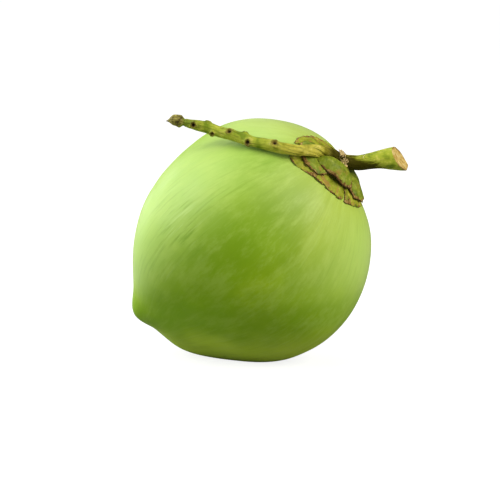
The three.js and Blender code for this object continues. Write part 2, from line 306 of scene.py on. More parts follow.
def make_husk():
    """The skin, with masks that follow its ridges. side is the turn from the nearest ridge."""
    directions, quads = quad_ball(HUSK_STEPS)
    reach = husk_reach(directions) + husk_relief(directions)
    points = lay_down(directions * reach[:, None])
    points[:, 2] = np.maximum(points[:, 2], 0)
    from_stem, turn = bearings(directions)
    side = (turn + np.pi / 3) % (2 * np.pi / 3) - np.pi / 3
    belly = smooth_step(0.25, 0.8, from_stem) * smooth_step(2.95, 2.4, from_stem)
    reach_out = np.where(side < -0.05, 0.7, 0.42)
    up_share = lay_down(directions)[:, 2] - FRUIT_CENTRE[2]
    facing_up = smooth_step(-0.75, -0.05, up_share)
    # Painted shade in the trough below the branch, beside the cap.
    cap_shade = bell((turn - 0.05) / 0.4) * bell((from_stem - 0.78) / 0.34)
    attributes = {
        "fibre_way": stacked(np.cos(turn), np.sin(turn), from_stem),
        "from_stem": from_stem,
        # Painted light and sheen on the upper side of each ridge that faces up.
        "pale_wash": bell((side + 0.05) / reach_out) * belly * facing_up,
        "strokes": bell((side - 0.22) / 0.22) * belly,
        # Painted shade on the flank beyond each ridge and in the trough below the branch.
        "shaded": np.maximum(bell((side - 0.62) / 0.35) * belly, cap_shade),
        # Painted shade on the skin that faces down.
        "low": smooth_step(-0.25, -0.6, up_share),
        # Painted shade at the blossom end.
        "tip": smooth_step(2.55, 2.85, from_stem),
        # Painted light bounced from the floor, where the skin comes close to it.
        "painted_floor_bounce": smooth_step(0.036, 0.004, points[:, 2] + 0.006 * noise(directions * 6, 23)),
    }
    piece = make_piece("green_husk", points, quads.tolist(), attributes)
    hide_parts("husk")
    return piece


husk = make_husk()

# %% [markdown]
# ## The cap of scales
#
# Petals and sepals hug the husk, so they are drawn as maps: degrees out from the cap's middle, degrees
# round it, and a height above the skin. A petal is a fan between two directions; a sepal is an oval. Each
# one is a closed sheet that thins to its rim. Draping a flat cloth over the husk would also work, but a map
# puts every margin just where it belongs.
#
# Real scales are green inside and die back from the margin. The dead rim is brown and papery, it frays,
# splits and ruffles, and folds of it dry pinkish. So each sheet also keeps `dry`, which is 0 in living
# tissue and 1 in the dead rim, `withered` for its dying patches, `vein`, which runs across the veins, and
# `edge`, which is 1 at the very margin.

# %% Points over the husk
GAP = 0.3 * MM
CAP_LEAN = radians(7)
CAP_LEAN_TOWARDS = radians(50)
PETAL_THICKNESS = 1.7 * MM
SEPAL_THICKNESS = 1.8 * MM
MARGIN_THINNING = 0.35
SECOND_LAYER = GAP + PETAL_THICKNESS + GAP
RIDE_UP = 1 * MM
THIRD_LAYER = SECOND_LAYER + SEPAL_THICKNESS + GAP + RIDE_UP


def cap_tilt():
    """The turn that leans the cap's middle off the stem axis, as rows to multiply by."""
    c, s = np.cos(CAP_LEAN_TOWARDS), np.sin(CAP_LEAN_TOWARDS)
    spin = np.array([[c, s, 0], [-s, c, 0], [0, 0, 1]])
    c, s = np.cos(CAP_LEAN), np.sin(CAP_LEAN)
    lean = np.array([[c, 0, -s], [0, 1, 0], [s, 0, c]])
    return spin.T @ lean @ spin


CAP_TILT = cap_tilt()


def cap_point(out, around, height):
    """The place at degrees out from the cap's middle, degrees round it and a height above the skin."""
    direction = ray(out, around) @ CAP_TILT
    reach = husk_reach(direction) + height
    return lay_down(direction * reach[..., None])


def curve_through(values, t):
    """A smooth line through evenly spaced values, read at t from 0 to 1."""
    values = np.asarray(values, float)
    place = np.clip(t, 0, 1) * (len(values) - 1)
    i = np.minimum(place.astype(int), len(values) - 2)
    u = place - i
    before = values[np.maximum(i - 1, 0)]
    a, b = values[i], values[i + 1]
    after = values[np.minimum(i + 2, len(values) - 1)]
    slope_a, slope_b = (b - before) / 2, (after - a) / 2
    return (
        (2 * a - 2 * b + slope_a + slope_b) * u**3
        + (3 * b - 3 * a - 2 * slope_a - slope_b) * u**2
        + slope_a * u
        + a
    )

# %% [markdown]
# ## Petals
#
# The three petals lie lowest, side by side, like wide fans that meet at the stem. Their outer margin is
# chewed by wind and drying: it frays, splits and curls. A grid of points, `across` by `outward`, makes the
# fan, and its margin is a smooth line through a few values, roughened by three sizes of noise.

# %% A petal
PETAL_ACROSS = 280
PETAL_OUT = 72


def make_petal(name, node, start, end, foot, rim, splits, seed, wild):
    """A leathery fan between two degrees round the cap. Splits are (place across, half width, depth)."""
    across, outward = grid(PETAL_ACROSS, PETAL_OUT)
    line = stacked(across * 9, 0 * across, 0.5)
    fray = 0.4 * noise(line * 2, seed) + 0.22 * noise(line * 6, seed + 1)
    fray = fray + 0.14 * noise(line * 15, seed + 2)
    reach = curve_through(rim, across) + fray * wild
    for place, half, deep in splits:
        reach = reach - deep * bell((across - place) / half)
    out = foot + (reach - foot) * outward
    side = np.minimum(across, 1 - across)
    waver = 2.2 * noise(stacked(outward * 4, 0, seed), seed + 3)
    waver = waver + noise(stacked(outward * 11, 0, seed), seed + 4)
    around = start + (end - start) * across + waver * bell(side / 0.03)
    spot = stacked(out * 0.25, around * 0.06, seed)
    edge = np.maximum(outward, 1 - side / 0.07)
    band = 0.014 + 0.13 * smooth_step(0.25, 0.8, noise(stacked(around * 0.09, 0, seed), seed + 12))
    ragged = edge + 0.05 * noise(spot * 3, seed + 5) + 0.03 * noise(spot * 9, seed + 6)
    dry = smooth_step(1 - band * 1.5, 1 - band * 0.5, ragged)
    withered = smooth_step(0.25, 0.75, noise(stacked(around * 0.13, out * 0.3, seed), seed + 11)) * outward
    veins = noise(stacked(around * 0.55, out * 0.05, seed), seed + 7)
    ruffle = noise(stacked(around * 0.3, out * 0.35, seed), seed + 8) * smooth_step(0.55, 0.95, edge)
    folds = np.abs(noise(stacked(around * 0.16, out * 0.9, seed), seed + 13)) * withered
    height = 0.14 * veins + 0.4 * noise(spot, seed + 9) * smooth_step(0, 0.5, outward)
    height = height + 0.35 * ruffle * wild - 0.9 * folds
    lift = 0.3 * smooth_step(0.93, 1, edge) * noise(spot * 4, seed + 10)
    low = GAP * 0.5 + np.maximum(0, 0.6 + height + lift) * MM * smooth_step(-0.2, 0.4, outward)
    thick = PETAL_THICKNESS * (1 - (1 - MARGIN_THINNING) * edge**4) - 0.5 * MM
    attributes = {"dry": dry, "withered": withered, "vein": around * 0.55, "edge": edge}
    top = cap_point(out, around, low + thick)
    piece = make_slab(name, top, cap_point(out, around, low), attributes)
    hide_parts(node)
    return piece


petal_front = make_petal(
    "front_petal", "petal_front", start=-21, end=86.5, foot=3, seed=100, wild=0.8,
    rim=[25.5, 28.5, 22.2, 19, 18.8, 19.4],
    splits=[(0.985, 0.014, 2.6), (0.3, 0.006, 0.8), (0.62, 0.005, 0.6)],
)
petal_right = make_petal(
    "right_petal", "petal_right", start=89.5, end=205, foot=4, seed=140, wild=1,
    rim=[19.6, 21.8, 23.6, 23, 20.5, 18.5],
    splits=[(0.2, 0.006, 1.2), (0.45, 0.01, 2)],
)
petal_back = make_petal(
    "back_petal", "petal_back", start=207, end=336, foot=4.5, seed=180, wild=1.2,
    rim=[16.5, 16.5, 17.5, 19, 21.3, 24.5],
    splits=[(0.18, 0.012, 2.5), (0.5, 0.008, 2), (0.66, 0.008, 1.6)],
)

# %% [markdown]
# ## Sepals
#
# The three sepals are smaller ovals on top of the petals. A fan would crowd its points at one end, so a
# sepal is a square grid pressed into a disc, then stretched, made egg-shaped and spun. Only the side that
# faced the weather is dead: there the rim frays and curls up, while the rest lies close and stays green.

# %% A sepal
SEPAL_STEPS = 120


def make_sepal(
    name, node, away, towards, long, wide, layer, thickness, dome, seed, dry_side, dry_wide, egg=0, spin=0
):
    """An oval scale, its middle at degrees away and towards. egg narrows one end, spin turns it about its
    middle, and dry_side is the direction of its deadest margin, on its own oval."""
    x, y = grid(SEPAL_STEPS, SEPAL_STEPS, -1)
    disc_x, disc_y = x * np.sqrt(1 - y * y / 2), y * np.sqrt(1 - x * x / 2)
    near = np.hypot(disc_x, disc_y)
    bearing = np.arctan2(disc_y, disc_x)
    circle = stacked(np.cos(bearing), np.sin(bearing), seed)
    dead = smooth_step(-0.35, 0.75, np.cos(bearing - radians(dry_side)))
    torn = 0.05 * noise(circle * 4, seed + 1) + 0.035 * noise(circle * 11, seed + 2)
    grow = 1 + (0.075 * noise(circle * 1.6, seed) + dead * torn) * near**3
    c, s = np.cos(radians(spin)), np.sin(radians(spin))
    lengthwise = disc_y * grow * long * (1 - egg * disc_x)
    ahead = away + lengthwise * c + disc_x * grow * wide * s
    aside = lengthwise * s - disc_x * grow * wide * c
    out = np.hypot(ahead, aside)
    around = towards + np.degrees(np.arctan2(aside, ahead))
    spot = stacked(disc_x * 2, disc_y * 2, seed)
    ragged = near + 0.06 * noise(spot * 3, seed + 3) + 0.04 * noise(spot * 8, seed + 4)
    band = 0.008 + dry_wide * dead * (0.75 + 0.5 * noise(circle * 3, seed + 9))
    dry = smooth_step(1 - band * 1.5, 1 - band * 0.6, ragged)
    withered = smooth_step(0.2, 0.8, noise(spot * 1.4, seed + 10)) * near * (0.3 + 0.7 * dead)
    rim = smooth_step(0.72, 0.98, near)
    ruffle = noise(circle * 5 + stacked(0, 0, near * 4), seed + 5) + 0.5 * noise(circle * 12, seed + 6)
    veins = noise(stacked(disc_x * wide * 0.75, disc_y * 0.6, seed), seed + 7)
    sag = 0.3 + 0.5 * (layer - SECOND_LAYER) / MM
    height = dome * (1 - near * near) - sag * near**4 + 0.16 * veins + 0.6 * noise(spot, seed + 8)
    height = height + rim * dead * (0.25 + 0.6 * ruffle)
    thick = thickness * (1 - (1 - MARGIN_THINNING) * near**3)
    low = layer + height * MM
    top = cap_point(out, around, low + thick)
    bottom = cap_point(out, around, low)
    attributes = {"dry": dry, "withered": withered, "vein": disc_x * wide * 0.75, "edge": near}
    piece = make_slab(name, top, bottom, attributes)
    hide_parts(node)
    return piece


sepal_left = make_sepal(
    "left_sepal", "sepal_left", away=14.5, towards=-5, long=8.5, wide=9.5, layer=SECOND_LAYER,
    thickness=SEPAL_THICKNESS, dome=0.3, seed=220, dry_side=110, dry_wide=0.12,
)
sepal_right = make_sepal(
    "right_sepal", "sepal_right", away=12.5, towards=157, long=9.5, wide=12.5, layer=SECOND_LAYER,
    thickness=2.2 * MM, dome=1, seed=260, dry_side=30, dry_wide=0.07,
)
sepal_front = make_sepal(
    "front_sepal", "sepal_front", away=7.6, towards=43, long=5.6, wide=11, layer=THIRD_LAYER,
    thickness=2.4 * MM, dome=1.6, seed=300, dry_side=145, dry_wide=0.15, egg=0.3, spin=23,
)

# %% [markdown]
# ## The branch
#
# The branch is a tube along one smooth line, thin and knobbly where the male flowers sat, twisted where it
# holds the fruit, and swelling to the place where it was cut. The line's points and radii are the CAD's.
# The tube is swept by hand here, not with a bevelled curve, because then each point knows how far along
# and how far round it is, and grooves, scars and the slanted cut can be set out on it.

# %% The branch's middle line
BRANCH = np.array([
    (-50, -43, 179, 1.2), (-44, -43.5, 179.5, 3.6), (-36, -45, 178, 3.3), (-26, -46, 176, 4.1),
    (-14, -48, 173, 4.1), (-4, -52, 170.3, 4.3), (9, -56, 166.7, 3.9), (24, -59.5, 163.7, 4.1),
    (37, -60, 161, 3.9), (46, -56.5, 160, 4.1), (54, -50.5, 159.5, 4.5), (62, -42, 157, 4.7),
    (69, -35, 152.5, 5.1), (76, -31, 149, 5.6), (85, -29.5, 148, 5.7), (94, -28, 149, 6.1),
    (101, -27, 150, 7), (108, -26, 150.5, 8.4), (115, -25.5, 150.8, 9.3), (122, -25, 151, 9.4),
]) * MM
LEG_STEPS = 40


def blend_leg(a, b, t_a, t_b, t):
    """Straight-line blend from a at t_a to b at t_b."""
    return a + (b - a) * (t - t_a) / (t_b - t_a)


def branch_samples():
    """Closely spaced points and radii along the branch: a centripetal Catmull-Rom line."""
    ends = 2 * BRANCH[0] - BRANCH[1], 2 * BRANCH[-1] - BRANCH[-2]
    knots = np.vstack([ends[0], BRANCH, ends[1]])
    samples = []
    for i in range(1, len(knots) - 2):
        p = knots[i - 1 : i + 3]
        t = np.append(0, np.cumsum(np.sqrt(np.linalg.norm(np.diff(p[:, :3], axis=0), axis=1))))
        u = np.linspace(t[1], t[2], LEG_STEPS, endpoint=False)[:, None]
        a1 = blend_leg(p[0], p[1], t[0], t[1], u)
        a2 = blend_leg(p[1], p[2], t[1], t[2], u)
        a3 = blend_leg(p[2], p[3], t[2], t[3], u)
        b1 = blend_leg(a1, a2, t[0], t[2], u)
        b2 = blend_leg(a2, a3, t[1], t[3], u)
        samples.append(blend_leg(b1, b2, t[1], t[2], u))
    return np.vstack([*samples, BRANCH[-1:]])


SAMPLES = branch_samples()
FORWARD = unit(np.gradient(SAMPLES[:, :3], axis=0))
UP = unit(np.array([0, 0, 1]) - FORWARD * FORWARD[:, 2:])
FRONT = np.cross(FORWARD, UP)
DISTANCE = np.append(0, np.cumsum(np.linalg.norm(np.diff(SAMPLES[:, :3], axis=0), axis=1)))
BRANCH_LENGTH = DISTANCE[-1]
print(f"branch line {BRANCH_LENGTH / MM:.0f} mm long")


def at_branch(columns, t):
    """Reads sampled columns at shares t of the branch's length."""
    place = np.clip(t, 0, 1) * BRANCH_LENGTH
    return np.stack([np.interp(place, DISTANCE, column) for column in columns.T], -1)


def branch_point(t, turn, distance):
    """Point at share t along, turned from the front upwards, at a distance from the middle line."""
    t, turn, distance = np.broadcast_arrays(t, turn, distance)
    front = at_branch(FRONT, t) * (np.cos(turn) * distance)[..., None]
    up = at_branch(UP, t) * (np.sin(turn) * distance)[..., None]
    return at_branch(SAMPLES[:, :3], t) + front + up


def branch_radius(t):
    return at_branch(SAMPLES[:, 3:], t)[..., 0]

# %% [markdown]
# Each scar is a small knob with a torn lip and a dark pit, where a male flower dropped off. Five face the
# front, and the rest are set round the back in the same spiral. Bark is grooved lengthwise, and the grooves
# wind round where the branch bends over the fruit. All of it is real height in the mesh, since bump alone
# would leave the branch's outline smooth.

# %% The relief of the bark
SCARS = [
    (0.107, 0), (0.185, -32), (0.25, 38), (0.325, -8), (0.42, 42),
    (0.155, 130), (0.23, 190), (0.3, 125), (0.38, 170), (0.46, 200),
]
SCAR_KNOB = 1.2 * MM
SCAR_LIP = 0.9 * MM
SCAR_PIT = 2.2 * MM
TWIST_FROM, TWIST_TO = 0.44, 0.72
TWIST = 3.2
CRACK_AT, CRACK_TURN = 0.825, radians(70)


def scar_distance(t, turn):
    """Distance over the bark to the nearest scar's middle."""
    radius = branch_radius(t)
    nearest = np.full(np.broadcast(t, turn).shape, 1.0)
    for place, degrees in SCARS:
        round_way = (turn - radians(degrees) + np.pi) % (2 * np.pi) - np.pi
        nearest = np.minimum(nearest, np.hypot((t - place) * BRANCH_LENGTH, round_way * radius))
    return nearest


def bark_relief(t, turn):
    """Height of the bark, and masks for its pits, its withered tip, its crack and the stain round scars."""
    length = t * BRANCH_LENGTH / MM
    wound = turn + TWIST * smooth_step(TWIST_FROM, TWIST_TO, t)
    way = stacked(np.cos(wound), np.sin(wound), length)
    broad = noise(way * [1.3, 1.3, 0.05], 401)
    grooves = noise(way * [3.2, 3.2, 0.045], 403)
    fibres = noise(way * [8, 8, 0.11], 405)
    lumps = noise(way * [1.1, 1.1, 0.17], 407)
    twist = bell((t - 0.585) / 0.07)
    height = 0.38 * broad + (0.28 + 0.45 * twist) * grooves + (0.1 + 0.12 * twist) * fibres + 0.3 * lumps
    thick_part = smooth_step(0.68, 0.8, t)
    height = height * (1 - 0.45 * thick_part)
    wither = 1 - smooth_step(0.058, 0.07, t + 0.006 * noise(way * [2, 2, 0], 409))
    shreds = 0.7 * noise(way * [2.6, 2.6, 0.12], 411) + 0.4 * noise(way * [6, 6, 0.3], 413)
    height = height + wither * (0.35 + shreds)
    apart = scar_distance(t, turn) * (1 + 0.3 * noise(way * [3, 3, 0.35], 417))
    lip_noise = 1 + 0.5 * noise(way * [4, 4, 0.5], 415)
    knob = SCAR_KNOB * bell(apart / (3.4 * MM))
    knob = knob + SCAR_LIP * lip_noise * bell((apart - 1.9 * MM) / (0.7 * MM))
    pit = bell(apart / (1.3 * MM))
    stain = bell(apart / (2.6 * MM))
    crack_way = (turn - CRACK_TURN + np.pi) % (2 * np.pi) - np.pi
    crack = bell((t - CRACK_AT - 0.006 * np.sin(crack_way * 5)) / 0.0022) * bell(crack_way / 0.55)
    sheath = 0.5 * bell((t - 0.055) / 0.008) - 0.5 * bell((t - 0.07) / 0.006)
    relief = (height + sheath - 0.35) * MM + knob - SCAR_PIT * pit - 0.8 * MM * crack
    pointed = smooth_step(-0.004, 0.03, t)
    return relief * pointed - branch_radius(t) * (1 - pointed), np.stack([pit, wither, crack, stain])

# %% [markdown]
# ## The cut end
#
# The branch was cut with one slanting stroke of a knife. A boolean cut would leave long, thin faces at the
# edge, and the bark's masks would be lost there. Instead each line of points along the bark ends where it
# meets the plane of the cut, and rings of points close the face, with a little grain and a bruised bulge.

# %% The branch with its slanted cut
CUT_POINT = np.array([114, -25.5, 150.8]) * MM
CUT_NORMAL = unit(np.array([0.82, -0.34, 0.46]))
BRANCH_RINGS = 760
BRANCH_ROUND = 84
FACE_RINGS = 16


def cut_share(turn):
    """How far along each line of the bark meets the plane of the cut."""
    t = np.full_like(turn, 0.94)
    for _ in range(12):
        point = branch_point(t, turn, branch_radius(t) + bark_relief(t, turn)[0])
        t = t - (point - CUT_POINT) @ CUT_NORMAL / CUT_NORMAL[0] / BRANCH_LENGTH
    return t


def make_branch():
    turn = np.arange(BRANCH_ROUND) * 2 * np.pi / BRANCH_ROUND
    share = np.linspace(0, 1, BRANCH_RINGS)[1:, None]
    t = share * cut_share(turn)
    relief, (pit, wither, crack, stain) = bark_relief(t, turn)
    bark = branch_point(t, turn, branch_radius(t) + relief)
    rim = bark[-1]
    middle = rim.mean(0)
    inward = np.linspace(1, 0, FACE_RINGS + 1)[1:-1, None]
    grain = rough_noise(stacked(rim[:, 1] / MM * inward * 1.4, rim[:, 2] / MM * inward * 0.5, 0), 421)
    bulge = 1.3 * bell((inward - 0.85) / 0.3) * bell((np.sin(turn) + 0.75) / 0.5)
    lip = -0.35 * bell((inward - 0.93) / 0.04)
    raised = (0.28 * grain + bulge + lip) * MM
    face = middle + (rim - middle) * inward[..., None] + raised[..., None] * CUT_NORMAL
    tip = branch_point(0.0, 0.0, 0.0)
    centre = middle + 0.3 * MM * CUT_NORMAL
    points = np.vstack([tip[None], bark.reshape(-1, 3), face.reshape(-1, 3), centre[None]])
    rows = len(bark) + len(face)
    ids = 1 + np.arange(rows * BRANCH_ROUND).reshape(rows, BRANCH_ROUND)
    ids = np.hstack([ids, ids[:, :1]])
    quads = grid_quads(ids).tolist()
    last = len(points) - 1
    ends = [[0, a, b] for a, b in zip(ids[0, 1:], ids[0, :-1])]
    ends += [[last, a, b] for a, b in zip(ids[-1, :-1], ids[-1, 1:])]
    faces = [q[::-1] for q in quads] + [[int(i) for i in end] for end in ends]

    def spread(values, on_tip, on_face, on_middle):
        """One number for each point: the tip, the bark, the cut face and its middle."""
        bark_values = np.broadcast_to(values, t.shape).ravel()
        face_values = np.broadcast_to(on_face, face.shape[:2]).ravel()
        return np.concatenate([[on_tip], bark_values, face_values, [on_middle]])

    length = t * BRANCH_LENGTH / MM
    wound = turn + TWIST * smooth_step(TWIST_FROM, TWIST_TO, t)
    attributes = {
        "along": spread(t, 0, 1, 1),
        "pit": spread(pit, 0, 0, 0),
        "wither": spread(wither, 1, 0, 0),
        "crack": spread(crack, 0, 0, 0),
        "stain": spread(stain, 0, 0, 0),
        "heartwood": spread(0, 0, smooth_step(0.99, 0.93, inward), 1),
        "under": spread(-np.sin(turn), 0, 0, 0),
        "groove_x": spread(np.cos(wound), 0, 0, 0),
        "groove_y": spread(np.sin(wound), 0, 0, 0),
        "groove_z": spread(length, 0, 0, 0),
    }
    piece = make_piece("flower_branch", points, faces, attributes, sharp=75)
    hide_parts("branch")
    return piece


branch = make_branch()

# %% [markdown]
# Where the branch holds the fruit it swells to a fleshy seat, pressed between the scales. The tube could
# bulge there instead, but it only passes by, while the seat faces the fruit. So the seat is a flattened
# ball of its own, creased by noise, that sinks into the branch and the scales.

# %% The seat
SEAT_CENTRE = np.array([71, -33, 147.5]) * MM
SEAT_RADIUS = 9 * MM
SEAT_FLATNESS = 0.55
SEAT_STEPS = 30
SEAT_ALONG = 0.66


def make_seat():
    directions, quads = quad_ball(SEAT_STEPS)
    outward = unit(SEAT_CENTRE - FRUIT_CENTRE)
    creased = SEAT_RADIUS * (1 + 0.06 * rough_noise(directions * 2.5, 431))
    local = directions * creased[:, None]
    local = local - outward * ((local @ outward) * (1 - SEAT_FLATNESS))[:, None]
    along = np.full(len(directions), SEAT_ALONG)
    attributes = {"along": along, "groove_x": directions[:, 0], "groove_y": directions[:, 2]}
    piece = make_piece("branch_seat", local + SEAT_CENTRE, quads.tolist(), attributes)
    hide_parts("branch")
    return piece


seat = make_seat()

# %% [markdown]
# ## The torn scraps
#
# Two small scales at the junction have dried and torn to fibres. Each is a ragged plate lying on the bark,
# with a tuft of short curly strands on it: tapered tubes, all in one mesh. Blender's hair could draw them
# too, but tubes are real geometry, so they go wherever the mesh goes.

# %% A torn scrap and its strands
SCRAP_THICKNESS = 0.9 * MM
SCRAP_ROUND, SCRAP_ALONG = 40, 28
STRAND_SIDES = 6
STRAND_STEPS = 12
STRAND_LENGTH = 1.2 * MM, 3.2 * MM
STRAND_RADIUS = 0.22 * MM, 0.48 * MM
STRAND_WAVE = 0.5 * MM
PLATE_PALENESS = 0.35


def strand(start, heading, normal, length, radius, wave, rng):
    """Points of one curly fibre that tapers off: rings along a wavering line."""
    s = np.linspace(0, 1, STRAND_STEPS)[:, None]
    side = unit(np.cross(heading, normal))
    phase = rng.uniform(0, 2 * np.pi, 2)
    line = start + heading * length * s
    line = line + side * wave * (np.sin(5 * s + phase[0]) - np.sin(phase[0]))
    line = line + normal * wave * np.sin(3 * s) * 0.8
    angle = np.linspace(0, 2 * np.pi, STRAND_SIDES, endpoint=False)
    around = np.cos(angle)[:, None] * side + np.sin(angle)[:, None] * normal
    taper = radius * (1 - 0.85 * s)
    return line[:, None] + around * taper[..., None]


def strand_faces(first):
    ids = first + np.arange(STRAND_STEPS * STRAND_SIDES).reshape(STRAND_STEPS, STRAND_SIDES)
    wrapped = np.hstack([ids, ids[:, :1]])
    return [*grid_quads(wrapped)[:, ::-1].tolist(), ids[0].tolist(), ids[-1, ::-1].tolist()]


def make_scrap(name, node, start_turn, end_turn, start, end, strands, seed):
    """A torn plate between two turns, in degrees, and two shares of the branch's length, with a tuft."""
    rng = np.random.default_rng(seed)
    u, v = grid(SCRAP_ROUND, SCRAP_ALONG)
    tatter = 0.16 * noise(stacked(u * 9, 0, seed), seed) + 0.1 * noise(stacked(u * 21, 0, seed), seed + 1)
    waver = 6 * noise(stacked(v * 6, 0, seed), seed + 2)
    turn = np.radians(start_turn + (end_turn - start_turn) * u + waver)
    t = start + (end - start) * (v * (1 + tatter))
    fold = rough_noise(stacked(u * 5, v * 3, seed), seed + 3)
    low = branch_radius(t) + (0.5 + 0.55 * fold) * MM
    rim = np.maximum(np.abs(2 * u - 1), np.abs(2 * v - 1))
    thick = SCRAP_THICKNESS * (1 - 0.6 * rim**3)
    plate = np.stack([branch_point(t, turn, low + thick), branch_point(t, turn, low)])
    faces = slab_faces(*u.shape)[:, ::-1].tolist()
    points, pale = [plate.reshape(-1, 3)], [np.full(2 * u.size, PLATE_PALENESS)]
    for _ in range(strands):
        place = rng.uniform(start, end)
        round_way = radians(rng.uniform(start_turn - 8, end_turn - 14))
        root = branch_point(place, round_way, branch_radius(place) + 0.9 * MM)
        outward = unit(root - at_branch(SAMPLES[:, :3], place))
        along = at_branch(FORWARD, place) * rng.uniform(-0.6, 1)
        droop = np.array([0, 0, -1]) * rng.uniform(-0.3, 1)
        heading = unit(along + droop + outward * rng.uniform(-0.1, 0.15))
        first = sum(len(p) for p in points)
        length = rng.uniform(*STRAND_LENGTH)
        tube = strand(root, heading, outward, length, rng.uniform(*STRAND_RADIUS), STRAND_WAVE, rng)
        points.append(tube.reshape(-1, 3))
        faces += strand_faces(first)
        pale.append(np.full(tube.size // 3, rng.uniform(0, 1)))
    piece = make_piece(name, np.vstack(points), faces, {"pale": np.concatenate(pale)})
    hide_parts(node)
    return piece


scrap_upper = make_scrap(
    "upper_scrap", "bracteole_upper", start_turn=20, end_turn=68, start=0.695, end=0.722,
    strands=26, seed=501,
)
scrap_lower = make_scrap(
    "lower_scrap", "bracteole_lower", start_turn=-20, end_turn=14, start=0.715, end=0.742,
    strands=30, seed=521,
)

# %% [markdown]
# ## Helpers for materials
#
# Materials are written as small networks of nodes. They could be wired by hand in the shader editor, but
# `Net` adds a node and wires its inputs in one line, so a material reads like a recipe.

# %% A small way to write nodes
class Net:
    """Adds nodes to a tree. An input may be a value or another node's output."""

    def __init__(self, tree):
        self.tree = tree

    def feed(self, node, key, value):
        """Wires an output to a node's input, or sets the input's value."""
        if isinstance(value, bpy.types.NodeSocket):
            self.tree.links.new(value, node.inputs[key])
        else:
            node.inputs[key].default_value = value

    def add(self, kind, inputs=None, **settings):
        node = self.tree.nodes.new(kind)
        for key, value in settings.items():
            setattr(node, key, value)
        for key, value in (inputs or {}).items():
            self.feed(node, key, value)
        return node

    def place(self, group, **inputs):
        """A copy of a node group with its own values. Gives its outputs."""
        return self.add("ShaderNodeGroup", inputs, node_tree=group).outputs

    def position(self):
        """Where a point of the surface is, in metres."""
        return self.add("ShaderNodeTexCoord").outputs["Object"]

    def attribute(self, name, output="Fac"):
        return self.add("ShaderNodeAttribute", attribute_name=name).outputs[output]

    def sums(self, operation, a, b):
        return self.add("ShaderNodeMath", {0: a, 1: b}, operation=operation).outputs[0]

    def plus(self, a, b):
        return self.sums("ADD", a, b)

    def minus(self, a, b):
        return self.sums("SUBTRACT", a, b)

    def times(self, a, b):
        return self.sums("MULTIPLY", a, b)

    def slope(self, value, low, high, to_low=0.0, to_high=1.0):
        inputs = {"Value": value, "From Min": low, "From Max": high, "To Min": to_low, "To Max": to_high}
        node = self.add("ShaderNodeMapRange", inputs, interpolation_type="SMOOTHSTEP")
        return node.outputs["Result"]

    def blend(self, share, a, b):
        """Colour a, with a share of colour b mixed in."""
        node = self.add("ShaderNodeMix", data_type="RGBA")
        for index, value in ((0, share), (6, a), (7, b)):
            self.feed(node, index, value)
        return node.outputs[2]

    def scaled(self, vector, amounts):
        inputs = {0: vector, 1: amounts}
        return self.add("ShaderNodeVectorMath", inputs, operation="MULTIPLY").outputs[0]

    def vector(self, x, y, z):
        return self.add("ShaderNodeCombineXYZ", {"X": x, "Y": y, "Z": z}).outputs[0]

    def noise(self, vector, scale, detail=2.0, rough=0.5):
        inputs = {"Vector": vector, "Scale": scale, "Detail": detail, "Roughness": rough}
        return self.add("ShaderNodeTexNoise", inputs).outputs["Fac"]

    def raise_skin(self, shader, height, strength, distance):
        """Small relief that only the light sees."""
        inputs = {"Height": height, "Strength": strength, "Distance": distance}
        bump = self.add("ShaderNodeBump", inputs)
        self.feed(shader, "Normal", bump.outputs[0])


def colour(red, green, blue):
    return (red, green, blue, 1.0)


WHITE = colour(1, 1, 1)


def shades(main, darker, lighter):
    """The three shades that make one mottled tissue."""
    return {"Main": colour(*main), "Darker": colour(*darker), "Lighter": colour(*lighter)}


def new_group(name, inputs, outputs):
    """An empty shader node group with named sockets: {name: (kind, default)}."""
    group = bpy.data.node_groups.new(name, "ShaderNodeTree")
    for label, (kind, default) in inputs.items():
        socket = group.interface.new_socket(label, in_out="INPUT", socket_type=f"NodeSocket{kind}")
        socket.default_value = default
    for label, kind in outputs.items():
        group.interface.new_socket(label, in_out="OUTPUT", socket_type=f"NodeSocket{kind}")
    net = Net(group)
    return group, net, net.add("NodeGroupInput").outputs, net.add("NodeGroupOutput")


def new_material(name, roughness, specular, sheen=0.0):
    material = bpy.data.materials.new(name)
    material.use_nodes = True
    net = Net(material.node_tree)
    shader = material.node_tree.nodes["Principled BSDF"]
    shader.inputs["Roughness"].default_value = roughness
    shader.inputs["Specular IOR Level"].default_value = specular
    shader.inputs["Sheen Weight"].default_value = sheen
    return material, net, shader

# %% [markdown]
# ## Effects that several materials share
#
# Two effects come back on every surface, and each is a node group: built once, with named sockets, and
# placed in every material with its own values. A change to the group then changes every tissue at once.
#
# Plant tissue is never one green, so *Mottle* mixes three shades in broad soft patches with finer ones
# inside. It could be painted on each piece, but noise in space needs no unwrapping and has no seams.

# %% The Mottle group
def mottle_group():
    group, net, given, result = new_group(
        "Mottle",
        {
            "Vector": ("Vector", (0, 0, 0)), "Size": ("Float", 0.02),
            "Main": ("Color", colour(0.2, 0.4, 0.05)),
            "Darker": ("Color", colour(0.1, 0.3, 0.02)), "Lighter": ("Color", colour(0.4, 0.5, 0.1)),
        },
        {"Color": "Color"},
    )
    scale = net.sums("DIVIDE", 1.0, given["Size"])
    broad = net.noise(given["Vector"], scale, 2.5, 0.55)
    fine = net.noise(given["Vector"], net.times(scale, 3.3), 2.0, 0.6)
    dark = net.slope(broad, 0.52, 0.32)
    both = net.plus(net.times(broad, 0.65), net.times(fine, 0.35))
    light = net.slope(both, 0.52, 0.66)
    shade = net.blend(dark, given["Main"], given["Darker"])
    shade = net.blend(light, shade, given["Lighter"])
    net.feed(result, "Color", shade)
    return group


MOTTLE = mottle_group()

# %% [markdown]
# Everything here is fibrous, so *Fibres* draws fine lines along one direction. A wave texture would give
# lines of even width; noise that is stretched along the fibre gives lines that swell, fade and wander. The
# group puts out a height for relief and a mask of streaks for colour.

